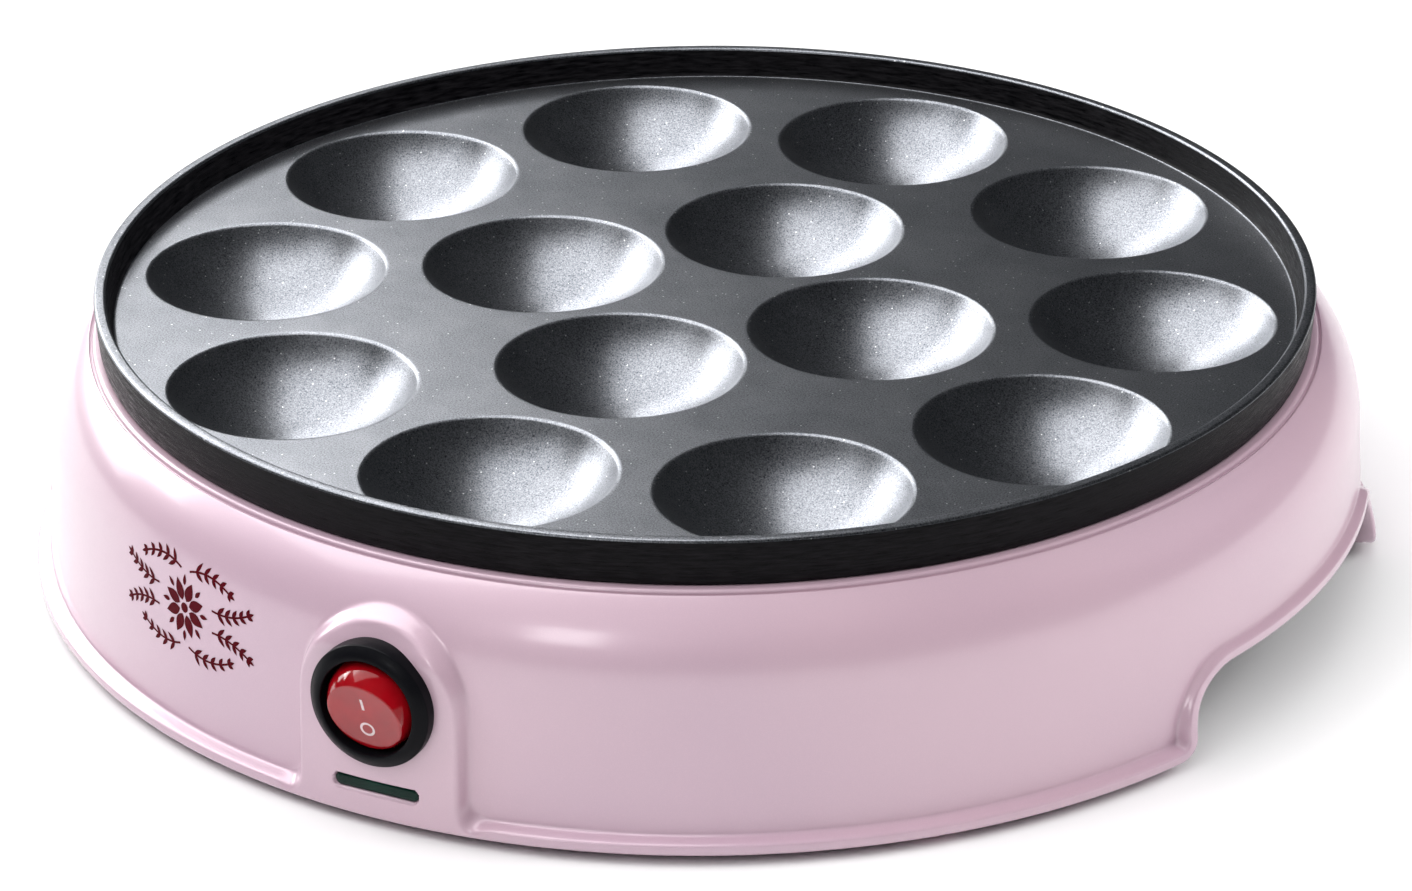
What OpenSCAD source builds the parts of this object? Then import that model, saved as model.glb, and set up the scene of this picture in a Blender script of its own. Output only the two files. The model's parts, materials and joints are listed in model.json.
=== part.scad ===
// Round table-top baker for small cakes: a moulded housing, a cast plate with bowls, and what drives it.
// The front, where the switch is, faces -Y. The origin is on the table, under the middle of the object.

/* [Housing] */
// Radius of the housing wall at its bottom edge
wall_r = 124; // [123.5:0.1:124.5]
// Thickness of the housing wall
wall_t = 2.4; // [2:0.1:2.6]
// Height of the straight part of the wall above the table
straight_top = 31; // [30:0.5:32]
// Radius of the wall at the top of its straight part
shoulder_start_r = 122.3; // [122:0.1:122.6]
// Radius of the rounded shoulder
shoulder_round = 20; // [19.5:0.1:20.5]
// How far the flange band stands out from the wall
flange_out = 2.6; // [2:0.1:3]
// Height of the flange band along the bottom edge
flange_h = 2.5; // [2:0.1:3]
// Height of the feet under the flange
foot_h = 1.9; // [1.5:0.1:2.3]

/* [Finger grips] */
// Half the width of a finger grip
grip_half = 43.4; // [40:0.5:46]
// Height of the top of a finger grip
grip_top = 16.3; // [15:0.1:17]
// Corner radius at the top of a finger grip
grip_round = 11; // [8:0.5:12]

/* [Baking plate] */
// Height of the plate's surface
plate_z = 49.4; // [49.2:0.1:50]
// Radius of the flat surface
plate_r = 110.1; // [109.8:0.1:110.4]
// Thickness of the plate
plate_t = 3; // [2.6:0.1:3.2]
// Height of the rim above the plate's surface
rim_h = 5.7; // [4:0.1:7]
// Radius of a bowl at the plate's surface
bowl_r = 22.5; // [21.5:0.1:22.8]
// Depth of a bowl
bowl_depth = 12; // [11:0.1:12.2]
// Radius of the ring on which the outer bowls lie
outer_ring_r = 83.6; // [83:0.1:84]
// Radius of the ring on which the inner bowls lie
inner_ring_r = 34.2; // [34:0.1:34.6]
// Number of bowls in the outer ring
outer_count = 10; // [8:1:10]
// Number of bowls in the inner ring
inner_count = 4; // [4:1:4]

/* [Switch] */
// Height of the switch's centre
switch_z = 24.4; // [24:0.1:24.8]
// Radius of the bezel
bezel_r = 11.5; // [11.2:0.1:12.5]
// Thickness of the bezel
bezel_t = 2; // [1.6:0.1:2.4]
// Radius of the ball-shaped rocker
rocker_r = 8.6; // [8.4:0.1:8.6]
// Height of the rocker's face above its pins
rocker_face = 5; // [4.6:0.1:5.4]
// Tilt of the rocker to each side of its middle position
rocker_tilt = 16; // [10:1:17]
// Half the width of the raised pad round the switch
pad_half = 16.8; // [16.4:0.1:17.2]

/* [Indicator] */
// Width of the indicator's slot
lens_w = 16.8; // [12:0.1:18]
// Height of the indicator's slot
lens_h = 2.7; // [2.4:0.1:3]
// Height of the indicator's centre above the table
lens_z = 8; // [7.6:0.1:8.4]

/* [Hidden] */
$fn = 96;

pink = [0.86, 0.74, 0.79];
coating = [0.16, 0.18, 0.20];
dark = [0.12, 0.13, 0.14];
steel = [0.72, 0.72, 0.72];
brass = [0.80, 0.66, 0.35];
off_white = [0.92, 0.90, 0.84];

slack = 0.05;                    // radial play of a screw, pin or plug in its hole
far = 300;                       // longer than the whole object

// housing
flange_r = wall_r + flange_out;
flange_top = foot_h + flange_h;
draft = atan((wall_r - shoulder_start_r) / (straight_top - foot_h));
shoulder_c = [shoulder_start_r - shoulder_round * cos(draft), straight_top - shoulder_round * sin(draft)];
lip_top = plate_z - 3.2;         // the plate's rim stands on the lip
lip_r = 114.2;
lip_t = 2.2;
lip_in_r = plate_r + 0.5;
groove_d = 1.2;
shoulder_end = asin((lip_top - 1 - shoulder_c[1]) / shoulder_round);
inner_end = asin((lip_top - lip_t - shoulder_c[1]) / (shoulder_round - wall_t));
foot_azimuths = [-45, 45, 135, 225];
foot_ring_r = 120;
foot_r = 3.75;
foot_boss = 5.2;
foot_plug_r = 1.8;
boss_azimuths = [-30, 30, 150, 210];
boss_ring_r = 114.5;
boss_r = 4;
boss_top = 30;
screw_r = 1.5;

// base cover
base_z = 3;
base_t = 2;
base_top = base_z + base_t;
base_r = wall_r - wall_t - 0.6;
pocket_x = 104;                  // inner wall of a finger pocket
pocket_half = grip_half + 2;
pocket_t = 1.8;
block_posts_x = [-24, 24];        // posts under the terminal block
block_y = 88;
block_post_top = base_top + 4;
clamp_posts_x = [-11, 11];        // posts under the cord clamp
clamp_y = 105;
vent_w = 2.6;
vent_length = 52;

// plate
rim_r = plate_r + 3.3;
plate_bottom = plate_z - plate_t;
bowl_ball = (bowl_r * bowl_r + bowl_depth * bowl_depth) / (2 * bowl_depth);
bowl_c = plate_z + bowl_ball - bowl_depth;
bowl_wall = 2.4;
element_ring_r = 59;
element_r = 3.3;
element_z = 42.4;
element_gap = 30;                // angle between the element's ends, at the back
stud_ring_r = 48;
stud_r = 4.5;
stud_bottom = 40;
stud_screw_r = 2;

// heat shield
shield_t = 0.8;
shield_z = 31.2;
shield_floor_r = 98;
shield_rim_z = lip_top - lip_t - shield_t;
shield_rim_in_r = 106.6;
shield_rim_r = 112.4;
bracket_t = 1.2;

// switch, in its own frame: z out of the pad, from the pad's crest
barrel_r = 10;
barrel_in_r = rocker_r + 0.3;
barrel_end = -16;
pivot = -2.3;                    // height of the rocker's pins
pin_r = 1.2;
pin_end = barrel_r - 0.15;
drum_bottom = -2;
stem_r = 1.9;
stem_bore_r = 1.2;
stem_end = -7;
plunger_r = 1.1;
plunger_top = -5.4;
plunger_end = -8.9;
lever_c = -9.6;                  // height of the contact lever's axis, from the rocker's pins
lever_t = 0.5;
lever_half = 5.5;
lever_tilt = rocker_tilt * 0.625;

// indicator lens
lens_back_t = 1.6;               // its plate behind the wall

// cord entry at the back
gland_z = 12;
gland_bore_r = 3.6;
gland_r = 6;
gland_flange_r = 7.6;
gland_in = 111;
terminal_x = [-10.5, 0, 10.5];
gland_out = flange_r + pivot + rocker_face * cos(rocker_tilt)
            + sqrt(rocker_r * rocker_r - rocker_face * rocker_face) * sin(rocker_tilt);

// a point on a circle, and a run of them
function around(c, r, a) = [c[0] + r * cos(a), c[1] + r * sin(a)];
function arc(c, r, from, to, steps) = [for (i = [0:steps]) around(c, r, from + (to - from) * i / steps)];
// radius of the housing's outside at a height on its straight part
function wall_at(z) = wall_r - (z - foot_h) * tan(draft);

// places its children on the compass: azimuth 0 is the front, 90 is +X
module compass(azimuth, radius, z = 0) rotate([0, 0, azimuth]) translate([0, -radius, z]) children();

// the switch's own frame, on the crest of the pad
module at_switch() translate([0, -flange_r, switch_z]) rotate([90, 0, 0]) children();

// the rocker's own frame, tilted about its pins
module at_rocker() at_switch() translate([0, 0, pivot]) rotate([rocker_tilt, 0, 0]) children();

module tube(r, bore, h) difference() {
    cylinder(r = r, h = h);
    translate([0, 0, -1]) cylinder(r = bore, h = h + 2);
}

module screw(r, length, head_r, head_h) {
    cylinder(r = r, h = length);
    translate([0, 0, -head_h]) difference() {
        cylinder(r = head_r, h = head_h);
        translate([-far / 2, -0.5, -1]) cube([far, 1, 1 + head_h / 2]);
    }
}

// a row of points with its corners cut once, and the direction of the row at one of them
function rounded(p) = concat(
    [p[0]], [for (i = [0:len(p) - 2], t = [0.25, 0.75]) p[i] * (1 - t) + p[i + 1] * t], [p[len(p) - 1]]);
function heading(p, i) = let (d = p[min(i + 1, len(p) - 1)] - p[max(i - 1, 0)]) d / norm(d);

// insulated wire through a row of points, with rounded bends
module wire(points, r = 1.2) {
    sides = 8;
    path = rounded(rounded(points));
    last = len(path) - 1;
    skin = [for (i = [0:last], j = [0:sides - 1])
        let (t = heading(path, i), u = cross(t, [0, 0, 1]) / norm(cross(t, [0, 0, 1])), v = cross(u, t))
        path[i] + r * (cos(360 * j / sides) * u + sin(360 * j / sides) * v)];
    walls = [for (i = [0:last - 1], j = [0:sides - 1])
        let (k = (j + 1) % sides) [i * sides + j, i * sides + k, (i + 1) * sides + k, (i + 1) * sides + j]];
    ends = [[for (j = [0:sides - 1]) sides - 1 - j], [for (j = [0:sides - 1]) last * sides + j]];
    polyhedron(points = skin, faces = concat(walls, ends));
}

// outline of a finger grip, seen from the side: y across, z up
module grip_outline(grow) {
    half = grip_half + grow;
    top = grip_top + grow;
    round_r = grip_round + grow;
    flare = 4 - grow;
    translate([-half, -far]) square([2 * half, far + top - round_r]);
    translate([-half + round_r, 0]) square([2 * (half - round_r), top]);
    for (side = [-1, 1]) {
        translate([side * (half - round_r), top - round_r]) circle(r = round_r);
        translate([side * half, foot_h]) difference() {
            square(2 * flare, center = true);
            translate([side * flare, flare]) circle(r = flare);
            translate([side * flare - flare, flare]) square([2 * flare, flare]);
            translate([side * flare - (side < 0 ? 2 * flare : 0), 0]) square([2 * flare, flare]);
        }
    }
}

module grip_cut(grow) for (side = [0, 180]) rotate([0, 0, side])
    translate([60, 0, 0]) rotate([90, 0, 90]) linear_extrude(height = 80) grip_outline(grow);

// outline of the raised pad: x across, z up
module pad_outline(shrink) {
    half = pad_half - shrink;
    translate([0, switch_z]) circle(r = half);
    translate([-half, 0]) square([2 * half, switch_z]);
}

module housing_outside() rotate_extrude() polygon(concat(
    [[0, foot_h], [wall_r, foot_h]],
    arc(shoulder_c, shoulder_round, draft, shoulder_end, 12),
    [[lip_r + 0.4, lip_top - 1 - groove_d], [lip_r, lip_top - 1 - groove_d], [lip_r, lip_top - 0.6],
     [lip_r - 0.6, lip_top], [0, lip_top]]));

module housing_inside() {
    rotate_extrude() polygon(concat(
        [[0, foot_h - 1], [wall_r - wall_t, foot_h - 1]],
        arc(shoulder_c, shoulder_round - wall_t, draft, inner_end, 10),
        [[0, lip_top - lip_t]]));
    cylinder(r = lip_in_r, h = far);
}

module housing() color(pink) difference() {
    union() {
        difference() {
            union() {
                housing_outside();
                translate([0, 0, foot_h]) intersection() {
                    cylinder(r = flange_r, h = shoulder_c[1] + shoulder_round - 2);
                    translate([0, 0, -foot_h]) union() {
                        cylinder(r = far, h = flange_top);
                        grip_cut(flange_h);
                        translate([0, -100, 0]) rotate([90, 0, 0])
                            linear_extrude(height = 40) pad_outline(0);
                    }
                }
            }
            housing_inside();
            translate([0, wall_t - flange_r, -1]) rotate([-90, 0, 0]) mirror([0, 1, 0])
                linear_extrude(height = 12) pad_outline(wall_t);
        }
        for (azimuth = foot_azimuths) compass(azimuth, foot_ring_r - 2.4, foot_h)
            cylinder(r = foot_boss, h = 20);
        for (azimuth = boss_azimuths) {
            compass(azimuth, boss_ring_r, base_top) cylinder(r = boss_r, h = boss_top - base_top);
            rotate([0, 0, azimuth]) translate([-wall_t / 2, 1.2 - shoulder_start_r, base_top])
                cube([wall_t, shoulder_start_r - boss_ring_r, boss_top - base_top]);
        }
    }
    grip_cut(0);
    for (azimuth = foot_azimuths) compass(azimuth, foot_ring_r, foot_h - 1)
        cylinder(r = foot_plug_r + slack, h = 6);
    for (azimuth = boss_azimuths) compass(azimuth, boss_ring_r, 0) cylinder(r = screw_r + slack, h = 20);
    at_switch() translate([0, 0, -10]) cylinder(r = barrel_r + 0.15, h = 20);
    indicator_slot(0);
    translate([0, 100, gland_z]) rotate([-90, 0, 0]) cylinder(r = gland_r + 0.1, h = 40);
}

// the two rings of bowls, as places
module bowl_places() {
    for (i = [0:outer_count - 1]) compass(i * 360 / outer_count, outer_ring_r, bowl_c) children();
    for (i = [0:inner_count - 1]) compass(i * 360 / inner_count, inner_ring_r, bowl_c) children();
}

module stud_places() for (i = [0:3]) compass(45 + 90 * i, stud_ring_r) children();

module baking_plate() color(coating) difference() {
    union() {
        rotate_extrude() polygon([
            [0, plate_bottom], [lip_in_r - 1.5, plate_bottom], [lip_in_r - 1.5, lip_top - 1.4],
            [lip_in_r - 0.3, lip_top - 1.4], [lip_in_r - 0.3, lip_top], [rim_r - 1, lip_top],
            [rim_r, plate_z + rim_h - 0.5], [rim_r - 0.5, plate_z + rim_h], [rim_r - 1.8, plate_z + rim_h],
            [rim_r - 2.3, plate_z + rim_h - 0.5], [plate_r, plate_z + 0.6], [plate_r - 0.6, plate_z],
            [0, plate_z]]);
        intersection() {
            bowl_places() sphere(r = bowl_ball + bowl_wall);
            translate([0, 0, 10]) cylinder(r = plate_r, h = plate_z - 11);
        }
        rotate_extrude() translate([element_ring_r - 4.2, element_z - 1])
            square([8.4, plate_z - element_z]);
        translate([0, 0, stud_bottom]) stud_places()
            cylinder(r = stud_r, h = plate_bottom - stud_bottom + 1);
    }
    bowl_places() sphere(r = bowl_ball);
    rotate_extrude() translate([element_ring_r, element_z]) circle(r = element_r + slack);
    rotate_extrude() translate([element_ring_r - element_r - slack, element_z - 2])
        square([2 * (element_r + slack), 2]);
    translate([0, 0, stud_bottom - 1]) stud_places() cylinder(r = stud_screw_r, h = 7);
}

module heating_element() color(steel) {
    rotate([0, 0, 90 + element_gap / 2]) rotate_extrude(angle = 360 - element_gap)
        translate([element_ring_r, element_z]) circle(r = element_r);
    for (side = [-1, 1]) compass(180 + side * element_gap / 2, element_ring_r, element_z) {
        sphere(r = element_r);
        translate([0, 0, -8]) cylinder(r = element_r, h = 8);
    }
}

module element_pins() color(steel)
    for (side = [-1, 1]) compass(180 + side * element_gap / 2, element_ring_r, element_z - 20) {
        cylinder(r = 1.5, h = 12);
        translate([0, 0, 2]) cylinder(r = 3, h = 1.6, $fn = 6);
    }

module element_clips() color(steel)
    for (azimuth = [-60, 60, 135, 225]) compass(azimuth, element_ring_r, element_z - element_r - 1)
        translate([-4, -5.4, 0]) cube([8, 10.8, 1]);

module heat_shield() color(steel) difference() {
    rotate_extrude() polygon([
        [0, shield_z], [shield_floor_r, shield_z], [shield_rim_in_r + 0.5, shield_rim_z],
        [shield_rim_r, shield_rim_z],
        [shield_rim_r, shield_rim_z + shield_t], [shield_rim_in_r, shield_rim_z + shield_t],
        [shield_floor_r - 0.5, shield_z + shield_t], [0, shield_z + shield_t]]);
    stud_places() cylinder(r = stud_screw_r + 0.2, h = far);
    for (side = [-1, 1]) compass(180 + side * element_gap / 2, element_ring_r) cylinder(r = 4.6, h = far);
    cylinder(r = 9, h = far);
}

// every other stud also holds the thermostat's bracket
module plate_spacers() color(steel) for (i = [0:3])
    compass(45 + 90 * i, stud_ring_r, shield_z + shield_t)
        tube(stud_r - 0.5, stud_screw_r + 0.2,
             stud_bottom - shield_z - shield_t - (i % 2 == 0 ? bracket_t : 0));

module plate_screws() color(steel) translate([0, 0, shield_z]) stud_places()
    screw(stud_screw_r - slack, 14, 3.8, 2.2);

module thermostat() color(off_white) {
    translate([0, 0, stud_bottom]) cylinder(r = 7.6, h = plate_bottom - stud_bottom - 1);
    translate([0, 0, plate_bottom - 1]) cylinder(r = 6.8, h = 1);
    for (side = [-1, 1]) rotate([0, 0, -45])
        translate([side * 9 - 3, -2.4, stud_bottom + 2]) cube([6, 4.8, 0.8]);
}

module thermostat_bracket() color(steel) difference() {
    rotate([0, 0, 45]) translate([-6, -stud_ring_r - 5, stud_bottom - bracket_t])
        cube([12, 2 * stud_ring_r + 10, bracket_t]);
    stud_places() cylinder(r = stud_screw_r + 0.2, h = far);
}

module thermal_fuse() color(off_white) translate([-30, 20, 27]) rotate([0, 90, 0]) {
    tube(2.6, 2, 26);
    translate([0, 0, 6]) cylinder(r = 2, h = 14);
}

module base_cover() color(dark) difference() {
    union() {
        difference() {
            translate([0, 0, base_z]) cylinder(r = base_r, h = base_t);
            for (side = [0, 180]) rotate([0, 0, side])
                translate([pocket_x, -pocket_half, 0]) cube([far, 2 * pocket_half, far]);
        }
        intersection() {
            translate([0, 0, base_z]) cylinder(r = base_r - 0.7, h = far);
            for (side = [0, 180]) rotate([0, 0, side])
                translate([pocket_x, -pocket_half, base_z]) difference() {
                    translate([-pocket_t, -pocket_t, 0])
                        cube([far, 2 * (pocket_half + pocket_t), grip_top + 1.4 + pocket_t - base_z]);
                    translate([0, 0, -1]) cube([far, 2 * pocket_half, grip_top + 2.4 - base_z]);
                }
        }
        for (x = block_posts_x) translate([x, block_y, base_top - 0.5])
            cylinder(r = 3.5, h = block_post_top - base_top + 0.5);
        for (x = clamp_posts_x) translate([x, clamp_y, base_top - 0.5])
            cylinder(r = 3.4, h = gland_z - base_top - 1);
    }
    for (azimuth = foot_azimuths) compass(azimuth, foot_ring_r - 2.4)
        cylinder(r = foot_boss + 0.4, h = far);
    for (azimuth = boss_azimuths) compass(azimuth, boss_ring_r) cylinder(r = screw_r + 0.2, h = far);
    for (side = [-1, 1], row = [-4:4])
        translate([side * 42 - vent_length / 2, row * 9 - vent_w / 2, 0])
            cube([vent_length, vent_w, base_top + 1]);
    for (x = block_posts_x) translate([x, block_y, base_top]) cylinder(r = screw_r + slack, h = 10);
    for (x = clamp_posts_x) translate([x, clamp_y, base_top + 1]) cylinder(r = screw_r + slack, h = 10);
}

module base_screws() color(steel) for (azimuth = boss_azimuths)
    compass(azimuth, boss_ring_r, base_z) screw(screw_r, 14, 3.2, 1.6);

module foot(azimuth) color(pink) compass(azimuth, foot_ring_r) {
    rotate_extrude() polygon([[0, 0], [foot_r - 0.5, 0], [foot_r, 0.5], [foot_r, foot_h], [0, foot_h]]);
    cylinder(r = foot_plug_r, h = foot_h + 4);
}

module foot_front_left() foot(foot_azimuths[0]);
module foot_front_right() foot(foot_azimuths[1]);
module foot_rear_right() foot(foot_azimuths[2]);
module foot_rear_left() foot(foot_azimuths[3]);

module switch_body() color(dark) at_switch() difference() {
    union() {
        rotate_extrude() polygon([
            [0, 0], [bezel_r, 0], [bezel_r, bezel_t - 0.9], [bezel_r - 0.8, bezel_t - 0.1],
            [bezel_r - 1.4, bezel_t], [0, bezel_t]]);
        translate([0, 0, barrel_end]) cylinder(r = barrel_r, h = -barrel_end);
        for (side = [0, 180]) rotate([0, 0, side])
            translate([0, barrel_r + 0.7, -5.6]) cube([6, 2, 2], center = true);
    }
    rotate_extrude() polygon([
        [0, barrel_end + 2.5], [barrel_in_r, barrel_end + 2.5], [barrel_in_r, bezel_t - 0.9],
        [barrel_in_r + 1, bezel_t + 1], [0, bezel_t + 1]]);
    translate([0, 0, pivot]) rotate([0, 90, 0]) cylinder(r = pin_r + slack, h = far, center = true);
    for (y = [-6.5, 0, 6.5]) translate([0, y, barrel_end]) cube([5, 1, 10], center = true);
}

module rocker() color([0.75, 0.05, 0.06]) at_rocker() difference() {
    union() {
        intersection() {
            sphere(r = rocker_r);
            translate([-far / 2, -far / 2, drum_bottom]) cube([far, far, rocker_face - drum_bottom]);
        }
        rotate([0, 90, 0]) cylinder(r = pin_r, h = 2 * pin_end, center = true);
        translate([0, 0, stem_end]) cylinder(r = stem_r, h = -stem_end);
    }
    translate([0, 0, stem_end - 1]) cylinder(r = stem_bore_r, h = 1 - stem_end - 1.6);
}

module rocker_plunger() color(brass) at_rocker() {
    tip_c = plunger_end + plunger_r;
    translate([0, 0, tip_c]) cylinder(r = plunger_r, h = plunger_top - tip_c);
    translate([0, 0, tip_c]) sphere(r = plunger_r);
}

// the coil is a small round section carried round its turns
module rocker_spring() color(steel) at_rocker() {
    turns = 4;
    steps = 12;
    sides = 6;
    coil_r = 0.8;
    wire_r = 0.18;
    low = plunger_top + wire_r;
    rise = -1.8 - wire_r - low;
    rings = turns * steps;
    points = [for (i = [0:rings], j = [0:sides - 1])
        let (a = 360 * i / steps, b = 360 * j / sides, r = coil_r + wire_r * cos(b))
        [r * cos(a), r * sin(a), low + rise * i / rings + wire_r * sin(b)]];
    sides_faces = [for (i = [0:rings - 1], j = [0:sides - 1])
        let (k = (j + 1) % sides) [i * sides + j, i * sides + k, (i + 1) * sides + k, (i + 1) * sides + j]];
    ends = [[for (j = [0:sides - 1]) sides - 1 - j], [for (j = [0:sides - 1]) rings * sides + j]];
    polyhedron(points = points, faces = concat(sides_faces, ends));
}

module contact_lever() color(brass) at_switch()
    translate([0, 0, pivot + lever_c]) rotate([-lever_tilt, 0, 0]) {
        cube([4, 2 * lever_half, lever_t], center = true);
        rotate([0, 90, 0]) cylinder(r = 0.5, h = 4, center = true);
    }

module switch_terminals() color(brass) at_switch() {
    for (y = [-6.5, 0, 6.5]) translate([-2.4, y - 0.4, barrel_end - 8]) cube([4.8, 0.8, 10]);
    floor_z = barrel_end + 2.5;
    for (y = [-4.7, 4.7]) translate([0, y, floor_z]) cylinder(r = 1, h = pivot + lever_c - 1.5 - floor_z);
    translate([-1.5, -0.8, floor_z]) cube([3, 1.6, pivot + lever_c - 0.6 - floor_z]);
}

module switch_lamp() color([0.95, 0.6, 0.4]) at_switch() translate([5, 0, pivot - 6.6]) {
    rotate([90, 0, 0]) cylinder(r = 1.4, h = 7, center = true);
    translate([0, 0, -4.6]) cylinder(r = 0.3, h = 4);
}

module slot_outline(w, h) {
    square([w - h, h], center = true);
    for (side = [-1, 1]) translate([side * (w - h) / 2, 0]) circle(r = h / 2);
}

module indicator_slot(gap) translate([0, -110, lens_z]) rotate([90, 0, 0])
    linear_extrude(height = 20) slot_outline(lens_w - gap, lens_h - gap);

module indicator_lens() color([0.06, 0.22, 0.16]) {
    difference() {
        indicator_slot(0.2);
        translate([0, 0, -1]) cylinder(r = 124.1, h = far);
        difference() {
            translate([0, 0, -1]) cylinder(r = far, h = far);
            translate([0, 0, -2]) cylinder(r = flange_r - 0.4, h = far + 4);
        }
    }
    translate([-lens_w / 2 - 1, wall_t - flange_r, lens_z - 1.9]) cube([lens_w + 2, lens_back_t, 3.8]);
}

module indicator_lamp() color([0.3, 0.8, 0.4]) translate([0, wall_t - flange_r + lens_back_t, lens_z + 0.2])
    rotate([-90, 0, 0]) cylinder(r = 1.5, h = 6);

module lamp_clip() color(dark) translate([0, 3 - flange_r + wall_t, lens_z + 0.2]) difference() {
    translate([-4, 0, -1.9]) cube([8, 3, 4.6]);
    translate([0, -1, 0]) rotate([-90, 0, 0]) cylinder(r = 1.55, h = 5);
}

module cord_gland() color(dark) difference() {
    union() {
        translate([0, gland_in, gland_z]) rotate([-90, 0, 0])
            cylinder(r = gland_r, h = gland_out - gland_in - 3);
        difference() {
            translate([0, 122, gland_z]) rotate([-90, 0, 0]) cylinder(r = gland_flange_r, h = 5);
            rotate_extrude() polygon([[0, 0], [wall_at(0) + 0.05, 0], [wall_at(30) + 0.05, 30], [0, 30]]);
        }
        translate([0, gland_out - 3, gland_z]) rotate([-90, 0, 0])
            cylinder(r1 = gland_r, r2 = gland_r - 1.2, h = 3);
        translate([0, wall_at(gland_z) - wall_t - 2.8, gland_z]) rotate([-90, 0, 0])
            cylinder(r = gland_r + 0.8, h = 1.6);
    }
    translate([0, gland_in - 1, gland_z]) rotate([-90, 0, 0]) cylinder(r = gland_bore_r, h = 40);
}

module cord_clamp() color(off_white) difference() {
    translate([-15, clamp_y - 3.5, gland_z - 1.5]) cube([30, 7, 7]);
    translate([0, clamp_y - 5, gland_z]) rotate([-90, 0, 0]) cylinder(r = gland_bore_r + 0.2, h = 10);
    translate([-gland_bore_r - 0.2, clamp_y - 5, gland_z - 2]) cube([2 * gland_bore_r + 0.4, 10, 2]);
    for (x = clamp_posts_x) translate([x, clamp_y, 0]) cylinder(r = screw_r + 0.2, h = far);
}

module clamp_screws() color(steel) for (x = clamp_posts_x) translate([x, clamp_y, gland_z + 5.5])
    mirror([0, 0, 1]) screw(screw_r, 10, 2.8, 1.6);

module terminal_block() color(off_white) difference() {
    union() {
        translate([-17, block_y - 6, block_post_top]) cube([34, 12, 11]);
        translate([-28, block_y - 4, block_post_top]) cube([56, 8, 3]);
    }
    for (x = block_posts_x) translate([x, block_y, 0]) cylinder(r = screw_r + 0.2, h = far);
    for (x = terminal_x) {
        translate([x, 70, block_post_top + 4.5]) rotate([-90, 0, 0]) cylinder(r = 2.4, h = 40);
        translate([x, block_y, block_post_top + 4.5]) cylinder(r = 1.8, h = 10);
    }
}

module terminal_screws() color(steel) {
    for (x = terminal_x) translate([x, block_y, block_post_top + 9.5])
        mirror([0, 0, 1]) screw(screw_r, 6, 1.7, 1);
    for (x = block_posts_x) translate([x, block_y, block_post_top + 3])
        mirror([0, 0, 1]) screw(screw_r, 6.5, 2.8, 1.6);
}

module live_wire() color([0.45, 0.25, 0.12])
    wire([[-10.5, 80, 13.5], [-10.5, 70, 18], [-40, 30, 20], [-30, -60, 20], [-2, -90, 23.5],
          [0, -101, 24.4]]);
module neutral_wire() color([0.2, 0.35, 0.75])
    wire([[10.5, 80, 13.5], [12, 70, 18], [15.3, 57, 20.5]]);
module lamp_wire() color([0.2, 0.2, 0.22])
    wire([[0, -101, 17.9], [3, -92, 15], [2, -100, 10], [0, -112, 8.3]], 0.9);
module earth_wire() color([0.35, 0.6, 0.25])
    wire([[0, 80, 13.5], [0, 66, 17], [33.9, 36, 24], [33.9, 34, 27.6]]);
module earth_tag() color(brass) translate([33.94, 33.94, shield_z - 3.2]) tube(5, 3.9, 0.8);

housing();
baking_plate();
heating_element();
element_pins();
element_clips();
heat_shield();
plate_spacers();
plate_screws();
thermostat();
thermostat_bracket();
thermal_fuse();
base_cover();
base_screws();
foot_front_left();
foot_front_right();
foot_rear_left();
foot_rear_right();
switch_body();
rocker();
rocker_plunger();
rocker_spring();
contact_lever();
switch_terminals();
switch_lamp();
indicator_lens();
indicator_lamp();
lamp_clip();
cord_gland();
cord_clamp();
clamp_screws();
terminal_block();
terminal_screws();
live_wire();
neutral_wire();
lamp_wire();
earth_wire();
earth_tag();
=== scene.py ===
"""Looks of the round pink baker for small cakes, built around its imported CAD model.

Lengths in the geometry below are millimetres and become metres when a mesh is made. The front, where the
switch is, faces -Y, and an azimuth is measured from the front towards +X.
"""
import json
import math

import bpy
import numpy as np
from mathutils import Matrix, Vector, geometry


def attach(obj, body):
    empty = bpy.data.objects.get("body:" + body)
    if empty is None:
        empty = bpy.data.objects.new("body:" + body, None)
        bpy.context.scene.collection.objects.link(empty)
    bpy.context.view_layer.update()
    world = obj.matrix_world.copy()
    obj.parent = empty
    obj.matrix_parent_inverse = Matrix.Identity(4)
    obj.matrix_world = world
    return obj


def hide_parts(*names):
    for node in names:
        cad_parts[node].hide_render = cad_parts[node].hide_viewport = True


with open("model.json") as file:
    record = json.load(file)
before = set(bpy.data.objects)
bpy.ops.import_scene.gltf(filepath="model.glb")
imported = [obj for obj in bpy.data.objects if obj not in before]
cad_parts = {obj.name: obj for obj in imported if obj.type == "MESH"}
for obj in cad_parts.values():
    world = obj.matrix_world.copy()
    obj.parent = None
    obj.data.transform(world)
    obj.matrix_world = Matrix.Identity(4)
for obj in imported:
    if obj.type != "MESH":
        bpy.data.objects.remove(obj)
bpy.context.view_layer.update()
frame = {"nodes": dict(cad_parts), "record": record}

MM = 0.001
TAU = 2 * math.pi

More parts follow.
